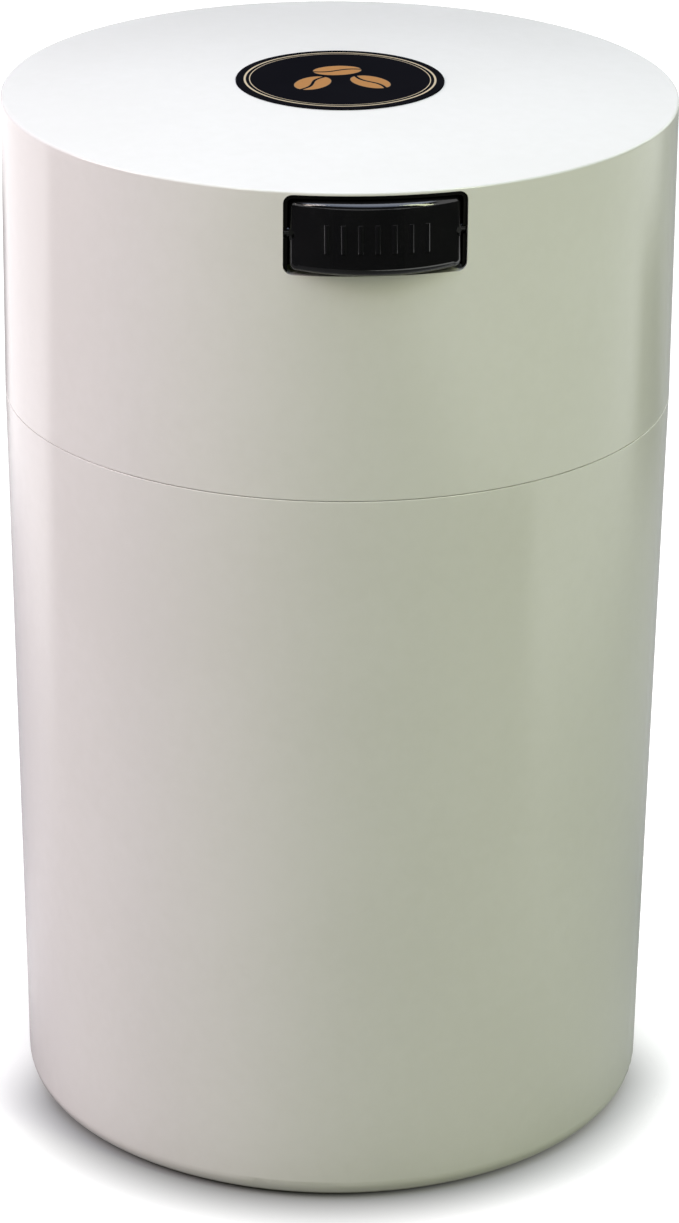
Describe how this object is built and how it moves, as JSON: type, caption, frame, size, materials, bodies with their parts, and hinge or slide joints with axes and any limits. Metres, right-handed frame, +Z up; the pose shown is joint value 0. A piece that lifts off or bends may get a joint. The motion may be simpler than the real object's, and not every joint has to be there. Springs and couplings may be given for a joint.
{
  "type": "coffee canister",
  "caption": "Tapered round coffee canister with a lift-off domed cap and a rocking press button in the cap's wall that opens a vent.",
  "frame": {"origin": "middle of the base, on the plane that the foot ring stands on", "axes": "+Z up along the canister's axis, -Y out of the button's face, +X to the right of the button"},
  "size_m": [0.127, 0.1296, 0.2046],
  "materials": {
    "white_plastic": "glossy moulded",
    "seal_rubber": "smooth",
    "label_film": "printed film",
    "black_plastic": "satin moulded",
    "black_rubber": "matte",
    "button_plastic": "polished moulded",
    "spring_steel": "drawn wire"
  },
  "bodies": {
    "container": {"container_body": "white_plastic", "neck_collar": "white_plastic"},
    "seal_ring": {"neck_seal": "seal_rubber"},
    "cap": {"cap_shell": "white_plastic", "cap_label": "label_film", "valve_housing": "black_plastic", "vent_gasket": "black_rubber", "return_spring": "spring_steel"},
    "rocker": {"rocker_button": "button_plastic", "valve_pad": "black_rubber"}
  },
  "joints": [
    {"name": "cap_turn", "type": "hinge", "parent": "container", "child": "seal_ring", "pos_m": [0, 0, 0.1773], "axis": [0, 0, 1], "continuous": true},
    {"name": "cap_lift", "type": "slide", "parent": "seal_ring", "child": "cap", "axis": [0, 0, 1], "range_m": [0, 0.07]},
    {"name": "button_rock", "type": "hinge", "parent": "cap", "child": "rocker", "pos_m": [0, -0.0592, 0.19437], "axis": [1, 0, 0], "range_deg": [0, 7], "stiffness_Nm_per_rad": 0.0137, "springref_deg": -17.19, "deforming": ["return_spring"]}
  ]
}
